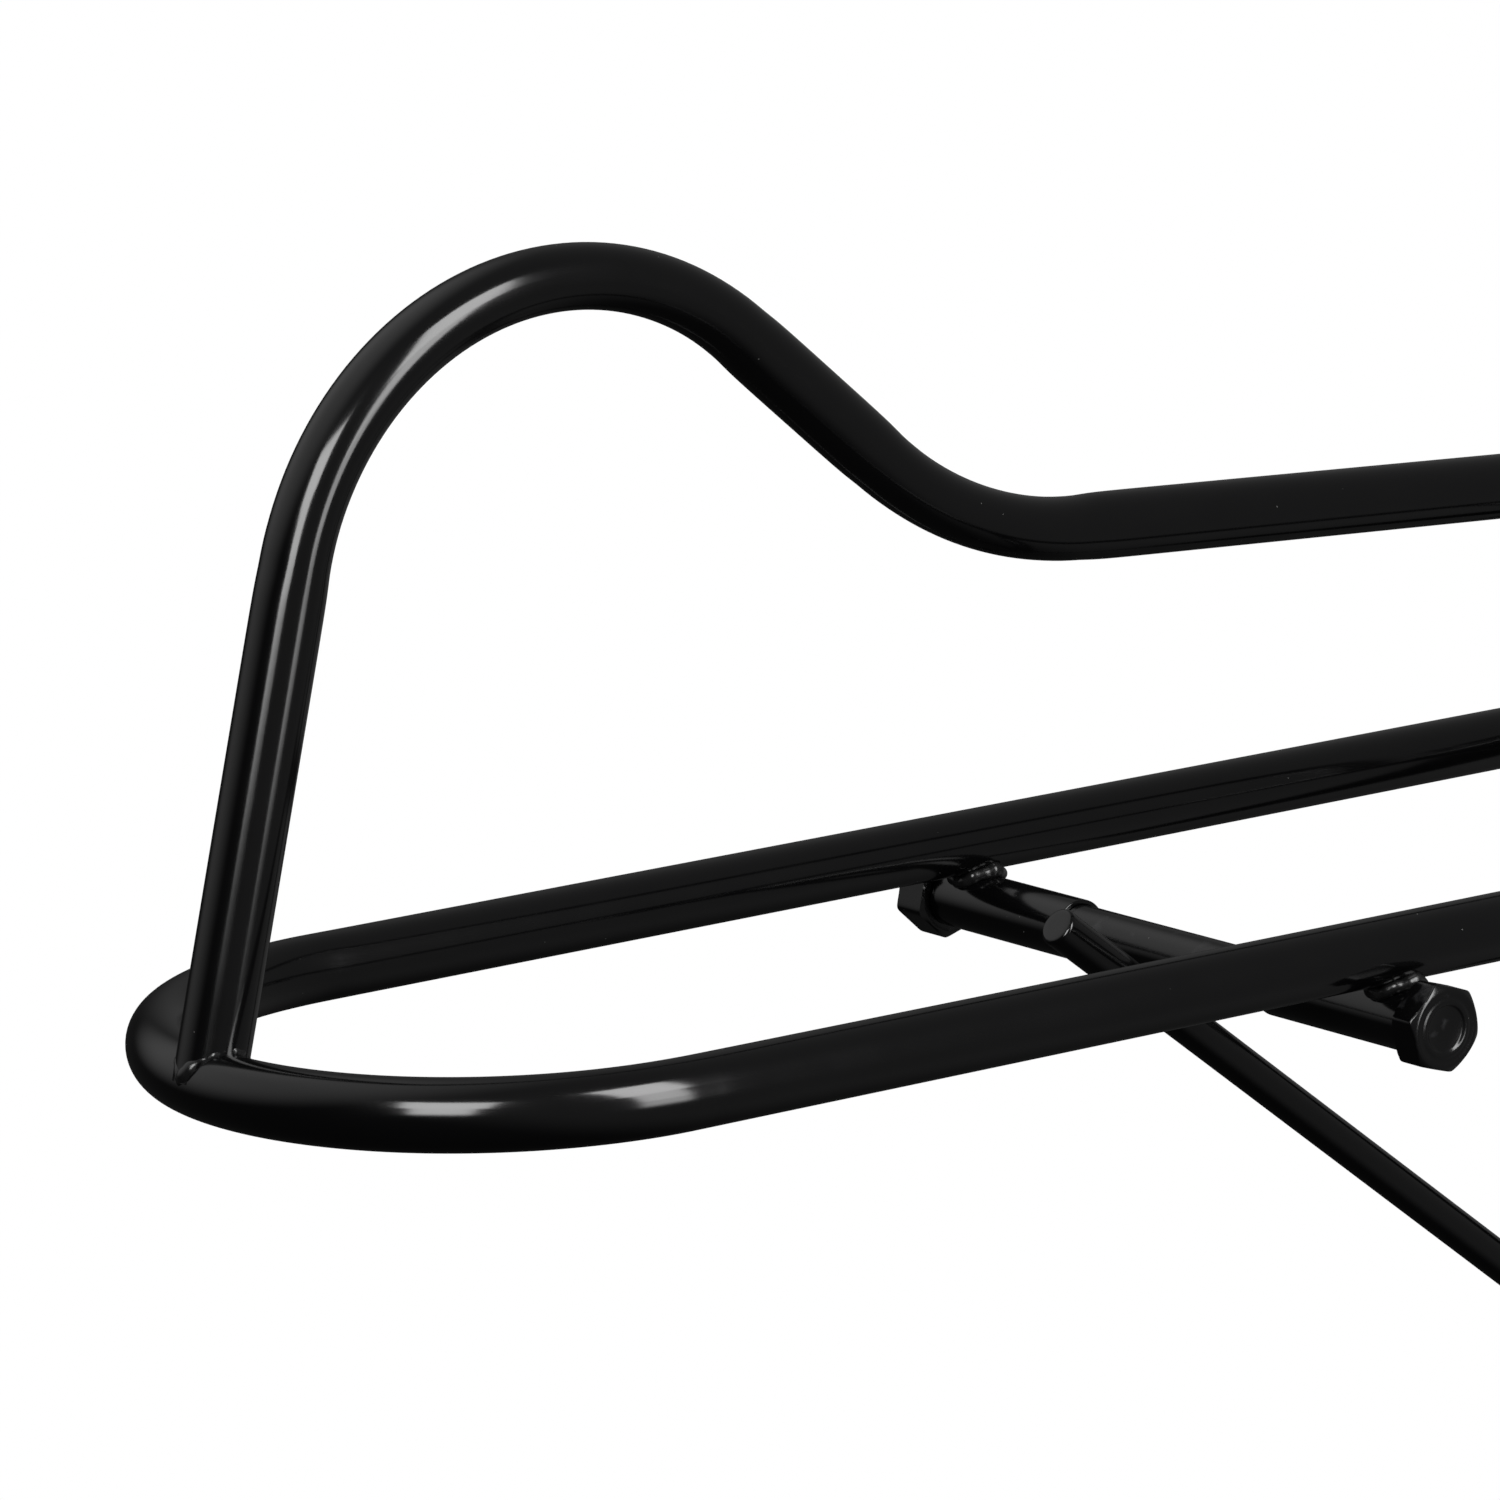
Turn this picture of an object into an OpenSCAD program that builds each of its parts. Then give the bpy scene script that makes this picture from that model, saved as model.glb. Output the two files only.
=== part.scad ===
// Wall-mounted folding saddle rack, welded from round steel tube.
// Origin: on the wall, in the plane of the side rails. +X points into the wall,
// so the rack reaches along -X. +Y is across the rack and +Z is up.

/* [Side rails] */
// Outer diameter of the rail, spine and crossbar tube
tube_d = 20; // [18:1:22]
// Outer diameter of the crossbar
crossbar_d = 18; // [16:1:18]
// Wall thickness of the tube
tube_wall = 1.5; // [1.2:0.1:2]
// Distance from the wall to the centre of the front bend
reach = 550; // [520:10:620]
// Centreline radius of the front bend, half of the rail spacing there
bend_r = 94.5; // [85:0.5:105]
// Angle by which each rail opens toward the wall
rail_splay = 0.75; // [0:0.25:1.5]

/* [Spine] */
// Angle by which the front leg leans toward the wall
leg_lean = 14; // [10:1:18]
// Straight length of the front leg, from the rail centreline
leg_len = 141; // [120:1:150]
// Centreline radius of the raised front hump
hump_r = 92; // [80:1:100]
// Angle below level at which the hump runs down to the spine
hump_fall = 40.6; // [36:0.2:44]
// Straight length of the run down from the hump
fall_len = 63; // [50:1:75]
// Centreline radius of the hollow between the hump and the spine
hollow_r = 118; // [100:2:130]
// Angle by which the spine falls toward the wall
spine_fall = 2.6; // [1:0.2:3.6]
// Centreline radius of the bend at the wall end of the spine
rear_bend_r = 45; // [40:1:60]

/* [Brace and pivot] */
// Distance from the front bend centre back to the pivot
pivot_back = 244; // [230:2:260]
// Drop of the pivot axis below the rails
pivot_drop = 20; // [20:0.5:22]
// Thread diameter of the pivot bolt
pivot_bolt_d = 16; // [16:16]
// Outer diameter of the pivot sleeves
sleeve_d = 19; // [19:0.5:20]
// Length of each pivot sleeve
sleeve_len = 63; // [50:1:66]
// Diameter of the brace bar
brace_d = 12; // [10:1:12]
// Angle of the brace below level
brace_angle = 38; // [36:1:40]
// Length of the brace that stands past the pivot bolt
brace_stub = 46; // [30:2:56]
// Distance between the pivot bolt's axis and the brace's axis
brace_offset = 15; // [14.2:0.2:15.4]

/* [Wall bracket] */
// Width of the wall channel
channel_w = 60; // [56:2:70]
// Thickness of the channel's plate
plate_t = 4; // [3:0.5:5]
// Depth of the channel's side flanges
flange_depth = 12; // [8:1:13]
// Height of the channel above the rails
channel_top = 48; // [44:2:60]
// Depth of the channel below the rails
channel_bottom = 316; // [312:2:330]
// Distance from the wall to the hinge axis
hinge_out = 48; // [46:1:52]
// Distance from the hinge axis to the crossbar axis
hinge_arm = 24; // [24:1:28]
// Thread diameter of the hinge bolt
hinge_bolt_d = 12; // [12:12]
// Diameter of the wall screw holes
screw_hole_d = 8.5; // [6.5:0.5:9]

/* [Hidden] */

gloss_black = [0.06, 0.06, 0.065];
rubber_black = [0.03, 0.03, 0.03];
zinc_grey = [0.55, 0.56, 0.58];
nylon_white = [0.85, 0.85, 0.82];

$fn = 96;
big = 2000;
pin_clear = 0.1;
end_gap = 0.5;
skin = 0.1;
lap = 1;
over = 1;
tube_r = tube_d / 2;
tube_bore = tube_d - 2 * tube_wall;
straight_d = tube_d + 2 * skin;
straight_bore = tube_bore - 2 * skin;
bend_x = -reach;
hinge_x = -hinge_out;
crossbar_x = hinge_x - hinge_arm;
pivot_x = bend_x + pivot_back;
pivot_z = -pivot_drop;

// rails run on a little behind the crossbar
rail_tail = 14;
rail_rear_x = crossbar_x + rail_tail;
rail_len = (rail_rear_x - bend_x) / cos(rail_splay) + bend_r * tan(rail_splay);
function rail_y(x) = bend_r / cos(rail_splay) + (x - bend_x) * tan(rail_splay);

// end points of the spine's bends, in the mid-plane from the foot of the front leg
hump_turn = 90 - leg_lean + hump_fall;
hollow_turn = hump_fall - spine_fall;
leg_top = [leg_len * sin(leg_lean), leg_len * cos(leg_lean)];
hump_centre = leg_top + hump_r * [cos(leg_lean), -sin(leg_lean)];
hump_end = hump_centre + hump_r * [sin(hump_fall), cos(hump_fall)];
fall_end = hump_end + fall_len * [cos(hump_fall), -sin(hump_fall)];
hollow_centre = fall_end + hollow_r * [sin(hump_fall), cos(hump_fall)];
spine_start = hollow_centre - hollow_r * [sin(spine_fall), cos(spine_fall)];
leg_x = bend_x - bend_r;
rear_turn = 90 - spine_fall;
post_foot_z = 4;
rear_back = rear_bend_r * (1 - sin(spine_fall));
spine_len = (crossbar_x - leg_x - spine_start[0] - rear_back) / cos(spine_fall);
spine_end = spine_start + spine_len * [cos(spine_fall), -sin(spine_fall)];
post_top = [crossbar_x - leg_x, spine_end[1] - rear_bend_r * cos(spine_fall)];

// pivot bolt and sleeves
sleeve_overhang = 1.8;
sleeve_outer_y = rail_y(pivot_x) + tube_r + sleeve_overhang;
sleeve_bore_d = pivot_bolt_d + 2 * pin_clear;
pivot_head_af = 24;
pivot_head_h = 10;
pivot_nut_h = 13;
pivot_head_turn = 13;
pivot_bolt_tail = 4;

// brace: its axis passes below the pivot bolt and runs down to the channel
brace_near_x = pivot_x - brace_offset * sin(brace_angle);
brace_near_z = pivot_z - brace_offset * cos(brace_angle);
foot_face_x = -plate_t - end_gap;
brace_len = (foot_face_x - brace_near_x) / cos(brace_angle);
foot_z = brace_near_z - brace_len * sin(brace_angle);
foot_d = 18;
foot_len = 34;
foot_wall = 4;
bar_end_gap = foot_d / 2 * tan(brace_angle) + foot_wall;

// hinge
ear_r = 12;
ear_y = channel_w / 2 - plate_t;
barrel_d = 22;
barrel_bore_d = 18;
bush_flange_t = 1.5;
bush_flange_d = 21;
bush_len = 16;
barrel_len = 2 * (ear_y - bush_flange_t - end_gap);
washer_d = 24;
washer_t = 2.5;
hinge_head_af = 18;
hinge_head_h = 7.5;
hinge_nut_h = 10;
hinge_bolt_tail = 4;
gusset_t = 5;
gusset_y = 15;
gusset_h = 18;

// seat for the brace foot
seat_inner_w = foot_d + 2;
seat_cheek_t = 3;
seat_depth = 9;
seat_h = 52;

// wall screw holes
screw_y = 14;
screw_inset = 16;
screw_top_z = channel_top - screw_inset;
screw_bottom_z = -channel_bottom + screw_inset;

// A round bar along +Y from y0 to y1 at x, z.
module bar_y(d, x, z, y0, y1) {
    translate([x, y0, z]) rotate([-90, 0, 0]) cylinder(h = y1 - y0, d = d);
}

// A straight tube along +X; a bore of 0 makes it solid.
module run_x(d, bore, length) {
    rotate([0, 90, 0]) difference() {
        cylinder(h = length, d = d);
        if (bore > 0) translate([0, 0, -over]) cylinder(h = length + 2 * over, d = bore);
    }
}

// A straight stretch of bent tube along +X. Drawing thins a bend's wall, so the stretch
// is a hair thicker than the bends, and it laps over each bend that it meets.
module straight(hollow, length, lap_start, lap_end) {
    translate([-lap_start, 0, 0])
        run_x(straight_d, hollow ? straight_bore : 0, length + lap_start + lap_end);
}

// The section of a bend, solid or hollow, at its radius.
module bend_section(radius, hollow) {
    translate([radius, 0]) difference() {
        circle(d = tube_d);
        if (hollow) circle(d = tube_bore);
    }
}

// A tube bend in the XY plane that starts at the origin along +X. A positive turn
// goes toward +Y and a negative one toward -Y.
module tube_bend(radius, turn) {
    side = sign(turn);
    translate([0, side * radius, 0]) rotate([0, 0, turn > 0 ? -90 : 90 + turn])
        rotate_extrude(angle = abs(turn)) bend_section(radius, true);
}

// Places a run or bend in the rack's mid-plane: its start, and its heading above level.
module in_mid_plane(start, heading) {
    translate([leg_x + start[0], 0, start[1]]) rotate([90, 0, 0]) rotate([0, 0, heading])
        children();
}

// One side rail, solid or hollow, on the +Y side (side = 1) or the -Y side (side = -1).
module rail(side, hollow) {
    translate([bend_x, 0, 0]) rotate([0, 0, side * rail_splay])
        translate([0, side * bend_r, 0]) straight(hollow, rail_len, lap, 0);
}

module front_bend(hollow) {
    translate([bend_x, 0, 0]) rotate([0, 0, 90 + rail_splay])
        rotate_extrude(angle = 180 - 2 * rail_splay) bend_section(bend_r, hollow);
}

// A hexagonal prism along +Y, with its corners taken off by a cone at each end.
module hex_y(af, height) {
    corner_d = af / cos(30);
    chamfer = 1.2;
    corner_room = 0.6;
    cone_d = corner_d + corner_room;
    rotate([-90, 0, 0]) intersection() {
        cylinder(h = height, d = corner_d, $fn = 6);
        union() {
            cylinder(h = chamfer, d1 = af, d2 = cone_d);
            translate([0, 0, chamfer]) cylinder(h = height - 2 * chamfer, d = cone_d);
            translate([0, 0, height - chamfer]) cylinder(h = chamfer, d1 = cone_d, d2 = af);
        }
    }
}

// The spine from the foot of the front leg, over the hump and back down to the crossbar.
module spine_run() {
    in_mid_plane([0, 0], 90 - leg_lean) straight(true, leg_len, 0, lap);
    in_mid_plane(leg_top, 90 - leg_lean) tube_bend(hump_r, -hump_turn);
    in_mid_plane(hump_end, -hump_fall) straight(true, fall_len, lap, lap);
    in_mid_plane(fall_end, -hump_fall) tube_bend(hollow_r, hollow_turn);
    in_mid_plane(spine_start, -spine_fall) straight(true, spine_len, lap, lap);
    in_mid_plane(spine_end, -spine_fall) tube_bend(rear_bend_r, -rear_turn);
    in_mid_plane(post_top, -90) straight(true, post_top[1] - post_foot_z, lap, 0);
}

module crossbar_solid() {
    bar_y(crossbar_d, crossbar_x, 0, -rail_y(crossbar_x), rail_y(crossbar_x));
}

// Turns its children so that +X runs down the brace from the point under the pivot.
module along_brace() {
    translate([brace_near_x, 0, brace_near_z]) rotate([0, brace_angle, 0]) children();
}

module hinge_ear(side) {
    y0 = side > 0 ? ear_y : -ear_y - plate_t;
    difference() {
        union() {
            bar_y(2 * ear_r, hinge_x, 0, y0, y0 + plate_t);
            translate([hinge_x, y0, -ear_r]) cube([hinge_out, plate_t, 2 * ear_r]);
        }
        bar_y(hinge_bolt_d + 2 * pin_clear, hinge_x, 0, y0 - over, y0 + plate_t + over);
    }
}

// Wall bracket ---------------------------------------------------------------

module wall_channel() {
    color(gloss_black) difference() {
        union() {
            translate([-plate_t, -channel_w / 2, -channel_bottom])
                cube([plate_t, channel_w, channel_bottom + channel_top]);
            for (side = [-1, 1])
                translate([-flange_depth, side > 0 ? ear_y : -ear_y - plate_t, -channel_bottom])
                    cube([flange_depth, plate_t, channel_bottom + channel_top]);
            for (side = [-1, 1]) hinge_ear(side);
        }
        for (y = [-screw_y, screw_y], z = [screw_top_z, screw_bottom_z])
            translate([-plate_t - over, y, z]) rotate([0, 90, 0])
                cylinder(h = plate_t + 2 * over, d = screw_hole_d);
    }
}

module foot_seat() {
    seat_w = seat_inner_w + 2 * seat_cheek_t;
    color(gloss_black) for (side = [-1, 1])
        translate([-plate_t - seat_depth,
                   side > 0 ? seat_inner_w / 2 : -seat_w / 2,
                   foot_z - seat_h / 2])
            cube([seat_depth, seat_cheek_t, seat_h]);
}

module hinge_bolt() {
    head_y = -channel_w / 2 - washer_t;
    tail_y = channel_w / 2 + washer_t + hinge_nut_h + hinge_bolt_tail;
    shank_root = 3;
    color(zinc_grey) union() {
        bar_y(hinge_bolt_d, hinge_x, 0, head_y - shank_root, tail_y);
        translate([hinge_x, head_y - hinge_head_h, 0]) hex_y(hinge_head_af, hinge_head_h);
    }
}

module hinge_nut() {
    color(zinc_grey) difference() {
        translate([hinge_x, channel_w / 2 + washer_t, 0]) hex_y(hinge_head_af, hinge_nut_h);
        bar_y(hinge_bolt_d, hinge_x, 0, 0, big);
    }
}

module hinge_washers() {
    washer_bore_d = hinge_bolt_d + 1;
    color(zinc_grey) for (y = [-channel_w / 2 - washer_t, channel_w / 2]) difference() {
        bar_y(washer_d, hinge_x, 0, y, y + washer_t);
        bar_y(washer_bore_d, hinge_x, 0, y - over, y + washer_t + over);
    }
}

// Rack frame -----------------------------------------------------------------

module side_rail_loop() {
    color(gloss_black) union() {
        front_bend(true);
        rail(1, true);
        rail(-1, true);
    }
}

module spine_tube() {
    cope_gap = 0.2;
    color(gloss_black) difference() {
        spine_run();
        bar_y(tube_d + 2 * cope_gap, leg_x + cope_gap, 0, -tube_d, tube_d);
        bar_y(crossbar_d, crossbar_x, 0, -tube_d, tube_d);
    }
}

module rear_crossbar() {
    color(gloss_black) difference() {
        crossbar_solid();
        bar_y(crossbar_d - 2 * tube_wall, crossbar_x, 0, -big / 2, big / 2);
        rail(1, false);
        rail(-1, false);
    }
}

module hinge_barrel() {
    color(gloss_black) difference() {
        bar_y(barrel_d, hinge_x, 0, -barrel_len / 2, barrel_len / 2);
        bar_y(barrel_bore_d, hinge_x, 0, -big / 2, big / 2);
    }
}

module hinge_bushes() {
    color(nylon_white) for (side = [0, 1]) mirror([0, side, 0]) difference() {
        union() {
            bar_y(barrel_bore_d, hinge_x, 0, barrel_len / 2 - bush_len, barrel_len / 2);
            bar_y(bush_flange_d, hinge_x, 0, barrel_len / 2, barrel_len / 2 + bush_flange_t);
        }
        bar_y(hinge_bolt_d + 2 * pin_clear, hinge_x, 0, 0, big);
    }
}

module hinge_gussets() {
    color(gloss_black) for (side = [-1, 1]) difference() {
        translate([crossbar_x, side * gusset_y - gusset_t / 2, -gusset_h / 2])
            cube([hinge_arm, gusset_t, gusset_h]);
        bar_y(barrel_d, hinge_x, 0, -big / 2, big / 2);
        bar_y(crossbar_d, crossbar_x, 0, -big / 2, big / 2);
    }
}

module rail_end_plugs() {
    plug_in = 10;
    plug_cap = 2;
    color(rubber_black) for (side = [-1, 1])
        translate([bend_x, 0, 0]) rotate([0, 0, side * rail_splay])
            translate([rail_len, side * bend_r, 0]) {
                run_x(tube_d, 0, plug_cap);
                translate([-plug_in, 0, 0]) run_x(straight_bore, 0, plug_in);
            }
}

module pivot_sleeve(side) {
    y0 = side > 0 ? sleeve_outer_y - sleeve_len : -sleeve_outer_y;
    color(gloss_black) difference() {
        bar_y(sleeve_d, pivot_x, pivot_z, y0, y0 + sleeve_len);
        bar_y(sleeve_bore_d, pivot_x, pivot_z, y0 - over, y0 + sleeve_len + over);
    }
}

module near_pivot_sleeve() {
    pivot_sleeve(-1);
}

module far_pivot_sleeve() {
    pivot_sleeve(1);
}

// Weld metal round the foot of the front leg, shaped to the two tubes.
module leg_weld() {
    bead_r = 4;
    bead_rise = 1;
    color(gloss_black) translate([leg_x, 0, 0]) rotate([0, leg_lean, 0]) difference() {
        translate([0, 0, tube_r + bead_rise])
            rotate_extrude() translate([tube_r, 0]) circle(r = bead_r);
        cylinder(h = leg_len, d = straight_d);
        rotate([0, -leg_lean, 0]) translate([-leg_x, 0, 0]) front_bend(false);
    }
}

// Weld metal in the notch where a sleeve crosses under its rail.
module sleeve_weld(side) {
    blob_r = 7.5;
    color(gloss_black) difference() {
        translate([pivot_x, side * rail_y(pivot_x), -tube_r]) sphere(r = blob_r);
        rail(side, false);
        bar_y(sleeve_d, pivot_x, pivot_z, -big / 2, big / 2);
    }
}

module near_sleeve_weld() {
    sleeve_weld(-1);
}

module far_sleeve_weld() {
    sleeve_weld(1);
}

module crossbar_welds() {
    bead_r = 3;
    color(gloss_black) for (side = [-1, 1]) difference() {
        translate([crossbar_x, side * (rail_y(crossbar_x) - tube_r), 0]) rotate([90, 0, 0])
            rotate_extrude() translate([tube_r, 0]) circle(r = bead_r);
        crossbar_solid();
        rail(side, false);
    }
}

module spine_weld() {
    bead_r = 3;
    color(gloss_black) difference() {
        translate([crossbar_x, 0, tube_r])
            rotate_extrude() translate([tube_r, 0]) circle(r = bead_r);
        crossbar_solid();
        translate([crossbar_x, 0, 0]) cylinder(h = 3 * tube_d, d = straight_d);
    }
}

// Brace ----------------------------------------------------------------------

module brace_bar() {
    nose = 1;
    color(gloss_black) along_brace() {
        translate([-brace_stub, 0, 0])
            run_x(brace_d, 0, brace_stub + brace_len - bar_end_gap);
        translate([-brace_stub - nose, 0, 0]) rotate([0, 90, 0])
            cylinder(h = nose, d1 = brace_d - 2 * nose, d2 = brace_d);
    }
}

module brace_weld() {
    blob_r = 6.5;
    blob_drop = brace_offset / 2 + 1;
    color(gloss_black) difference() {
        translate([pivot_x, 0, pivot_z]) rotate([0, brace_angle, 0])
            translate([0, 0, -blob_drop]) sphere(r = blob_r);
        bar_y(pivot_bolt_d, pivot_x, pivot_z, -big / 2, big / 2);
        along_brace() translate([-brace_d, 0, 0]) run_x(brace_d, 0, 2 * brace_d);
    }
}

module pivot_bolt() {
    head_y = -sleeve_outer_y - end_gap;
    tail_y = sleeve_outer_y + end_gap + pivot_nut_h + pivot_bolt_tail;
    dish = 0.5;
    dish_d = pivot_bolt_d - 2;
    shank_root = 3;
    color(gloss_black) difference() {
        union() {
            bar_y(pivot_bolt_d, pivot_x, pivot_z, head_y - shank_root, tail_y);
            translate([pivot_x, head_y - pivot_head_h, pivot_z]) rotate([0, pivot_head_turn, 0])
                hex_y(pivot_head_af, pivot_head_h);
        }
        bar_y(dish_d, pivot_x, pivot_z, head_y - pivot_head_h - over,
              head_y - pivot_head_h + dish);
    }
}

module pivot_nut() {
    color(gloss_black) difference() {
        translate([pivot_x, sleeve_outer_y + end_gap, pivot_z]) rotate([0, -pivot_head_turn, 0])
            hex_y(pivot_head_af, pivot_nut_h);
        bar_y(pivot_bolt_d, pivot_x, pivot_z, 0, big);
    }
}

// Rubber boot on the end of the brace, cut square to the wall.
module brace_foot() {
    color(rubber_black) difference() {
        along_brace() translate([brace_len - foot_len, 0, 0]) run_x(foot_d, 0, foot_len + foot_d);
        along_brace() run_x(brace_d, 0, brace_len - bar_end_gap);
        translate([foot_face_x, -big / 2, -big / 2]) cube(big);
    }
}

wall_channel();
foot_seat();
hinge_bolt();
hinge_nut();
hinge_washers();
side_rail_loop();
spine_tube();
rear_crossbar();
hinge_barrel();
hinge_bushes();
hinge_gussets();
rail_end_plugs();
near_pivot_sleeve();
far_pivot_sleeve();
leg_weld();
near_sleeve_weld();
far_sleeve_weld();
crossbar_welds();
spine_weld();
brace_bar();
brace_weld();
pivot_bolt();
pivot_nut();
brace_foot();
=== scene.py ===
"""Looks for a wall-mounted folding saddle rack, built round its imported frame."""

from collections import namedtuple
from math import cos, pi, radians, sin, tan

import bpy
import bmesh
import numpy as np
from bpy.props import FloatProperty, FloatVectorProperty, IntProperty, PointerProperty
from mathutils import Matrix, Vector


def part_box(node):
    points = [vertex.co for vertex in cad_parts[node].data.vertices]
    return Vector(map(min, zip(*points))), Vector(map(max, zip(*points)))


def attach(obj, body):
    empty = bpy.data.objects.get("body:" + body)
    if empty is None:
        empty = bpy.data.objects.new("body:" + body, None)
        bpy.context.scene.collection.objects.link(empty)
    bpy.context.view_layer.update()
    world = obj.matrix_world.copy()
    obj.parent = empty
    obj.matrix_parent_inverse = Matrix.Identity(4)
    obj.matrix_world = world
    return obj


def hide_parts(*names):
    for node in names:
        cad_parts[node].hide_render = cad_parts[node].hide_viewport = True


bl_info = {
    "name": "Folding Saddle Rack",
    "version": (1, 0, 0),
    "blender": (4, 5, 0),
    "location": "3D View > Sidebar > Saddle Rack",
    "description": "Makes the tubes, welds, fasteners, wall bracket and studio of a folding saddle rack",
    "category": "Object",
}

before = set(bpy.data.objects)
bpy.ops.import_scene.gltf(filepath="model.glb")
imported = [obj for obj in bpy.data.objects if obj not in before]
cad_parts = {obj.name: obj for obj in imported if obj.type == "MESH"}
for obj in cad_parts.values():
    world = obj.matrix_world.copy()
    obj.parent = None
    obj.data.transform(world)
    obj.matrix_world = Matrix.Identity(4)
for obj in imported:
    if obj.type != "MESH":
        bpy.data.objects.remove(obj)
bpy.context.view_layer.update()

WALL, RACK, BRACE = "wall_bracket", "rack_frame", "brace"
PAINT, WELD, BOLT, ZINC = "gloss_black_paint", "painted_weld", "painted_fastener", "zinc_fastener"
X_AXIS, Y_AXIS, Z_AXIS = np.eye(3)

LOOP_LOW, LOOP_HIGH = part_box("side_rail_loop")
CROSSBAR_LOW, CROSSBAR_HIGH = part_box("rear_crossbar")
NEAR_LOW, NEAR_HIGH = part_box("near_pivot_sleeve")
FAR_LOW, FAR_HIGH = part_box("far_pivot_sleeve")
BARREL_LOW, BARREL_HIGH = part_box("hinge_barrel")
BOLT_LOW, BOLT_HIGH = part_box("pivot_bolt")
HINGE_LOW, HINGE_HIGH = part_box("hinge_bolt")
FOOT_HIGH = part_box("brace_foot")[1]
WASHERS_LOW, WASHERS_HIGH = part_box("hinge_washers")
PIVOT = (NEAR_LOW + NEAR_HIGH) / 2
HINGE = (BARREL_LOW + BARREL_HIGH) / 2
CROSSBAR = (CROSSBAR_LOW + CROSSBAR_HIGH) / 2
CROSSBAR_RADIUS = (CROSSBAR_HIGH.x - CROSSBAR_LOW.x) / 2
BARREL_RADIUS = (BARREL_HIGH.x - BARREL_LOW.x) / 2
MM = 0.001

# Points round a round piece, a hexagonal one and a weld bead
TURNS, HEX_TURNS, BEAD_TURNS = 96, 144, 28

# How far a bend's squeeze fades, and the half width and depth of the crease where it starts
BEND_FADE, CREASE_WIDTH, CREASE_DEPTH = 9 * MM, 4 * MM, 0.012

# Shank and thread sizes, width across flats, heights, and the length past the nut
Fastener = namedtuple("Fastener", "shank pitch threaded flats head nut tail")
PIVOT_SIZE = Fastener(8 * MM, 2 * MM, 10 * MM, 24 * MM, 10 * MM, 13 * MM, 4 * MM)
HINGE_SIZE = Fastener(6 * MM, 1.75 * MM, 8 * MM, 18 * MM, 7.5 * MM, 10 * MM, 4 * MM)
PIVOT_TURN = radians(13)
WASHER_THICK, WASHER_OUTER, WASHER_BORE = 2.5 * MM, 12 * MM, 6.5 * MM
BARREL_WALL, SLEEVE_BORE = 2 * MM, 8.1 * MM

# How far two crossed bars have parted where the bead between them lies
SLEEVE_MOUTH, BRACE_MOUTH = 3.6 * MM, 3.4 * MM

# From the middle of a bolt head's face to its rim: depth in mm, share of the half width
HEAD_FACE = (
    (0.75, 0.08), (0.75, 0.52), (0.55, 0.56), (0.30, 0.58), (0.12, 0.61), (0.05, 0.66),
    (0.12, 0.71), (0.30, 0.74), (0.34, 0.78), (0.10, 0.86), (0.0, 0.93),
)

# Radii of the weld beads, and their swellings: place and width in degrees, height
LEG_BEAD, LEG_BEAD_IN, LEG_BEAD_UP, TUBE_BEAD = 1.6 * MM, 1.5 * MM, 1.0 * MM, 2.0 * MM
LEG_TACKS = ((279, 17, 1.0 * MM), (54, 12, 0.7 * MM), (150, 24, 0.5 * MM))
SLEEVE_TACKS = ((40, 22, 0.7 * MM), (170, 30, 0.5 * MM), (280, 20, 0.6 * MM))

# Colours of paint rubbed off a bolt and of paint over weld metal
WORN, PITTED = (0.035, 0.035, 0.037), (0.012, 0.012, 0.012)

# The room's lobes: direction, and the cosines where each starts and is full
BRIGHT_LOBE = ((0.6, -0.5, 0.5), -0.35, 0.35)
BACK_LOBE = ((-0.45, 0.6, 0.66), 0.55, 1.0)

# The softboxes: bearing from the view, half width, heights of the strips' edges, all in
# degrees, and each strip's share of the glow
SOFTBOXES = {
    "softbox_left": (
        -16, 12.5, (7, 9, 11, 13, 16, 27, 35, 44), (0.08, 0.35, 0.7, 0.9, 0.95, 1, 1)
    ),
    "softbox_right": (
        50.5, 10, (-9, -7, -5, -2, 8, 26, 38, 52), (0.04, 0.15, 0.4, 0.6, 0.8, 1, 1)
    ),
}
DIM_STRIP_WIDTH = 0.75
FLOOR_REACH = 30.0
NODE_STEP, MOST_NODES = 200, 20


# Settings --------------------------------------------------------------------


def length(name, text, default):
    return FloatProperty(name=name, description=text, default=default, min=0.0, unit="LENGTH")


def angle(name, text, degrees):
    return FloatProperty(name=name, description=text, default=radians(degrees), unit="ROTATION")


def factor(name, text, default):
    return FloatProperty(
        name=name, description=text, default=default, min=0.0, max=1.0, subtype="FACTOR"
    )


def colour(name, text, value):
    return FloatVectorProperty(
        name=name, description=text, default=value, size=3, min=0.0, max=1.0, subtype="COLOR"
    )


class SaddleRackTubes(bpy.types.PropertyGroup):
    tube_radius: length("Tube Radius", "Outer radius of the tube", 10 * MM)
    bend_radius: length("Front Bend", "Centreline radius of the front bend", 94.5 * MM)
    rail_splay: angle("Rail Splay", "Angle by which each rail opens", 0.75)
    leg_lean: angle("Leg Lean", "Lean of the front leg toward the wall", 14.0)
    leg_length: length("Leg Length", "Straight run of the front leg", 141 * MM)
    hump_radius: length("Hump Radius", "Centreline radius of the hump", 92 * MM)
    hump_fall: angle("Hump Fall", "Slope of the run down from the hump", 40.6)
    fall_length: length("Fall Length", "Straight length of that run", 63 * MM)
    hollow_radius: length("Hollow Radius", "Centreline radius behind the hump", 118 * MM)
    spine_fall: angle("Spine Fall", "Slope of the spine toward the wall", 2.6)
    rear_radius: length("Rear Radius", "Centreline radius of the rear bend", 45 * MM)
    squeeze: factor("Bend Squeeze", "Share of thickness lost in a bend", 0.07)
    sides: IntProperty(
        name="Sides", description="Points round each tube", default=96, min=12, max=256
    )


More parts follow.
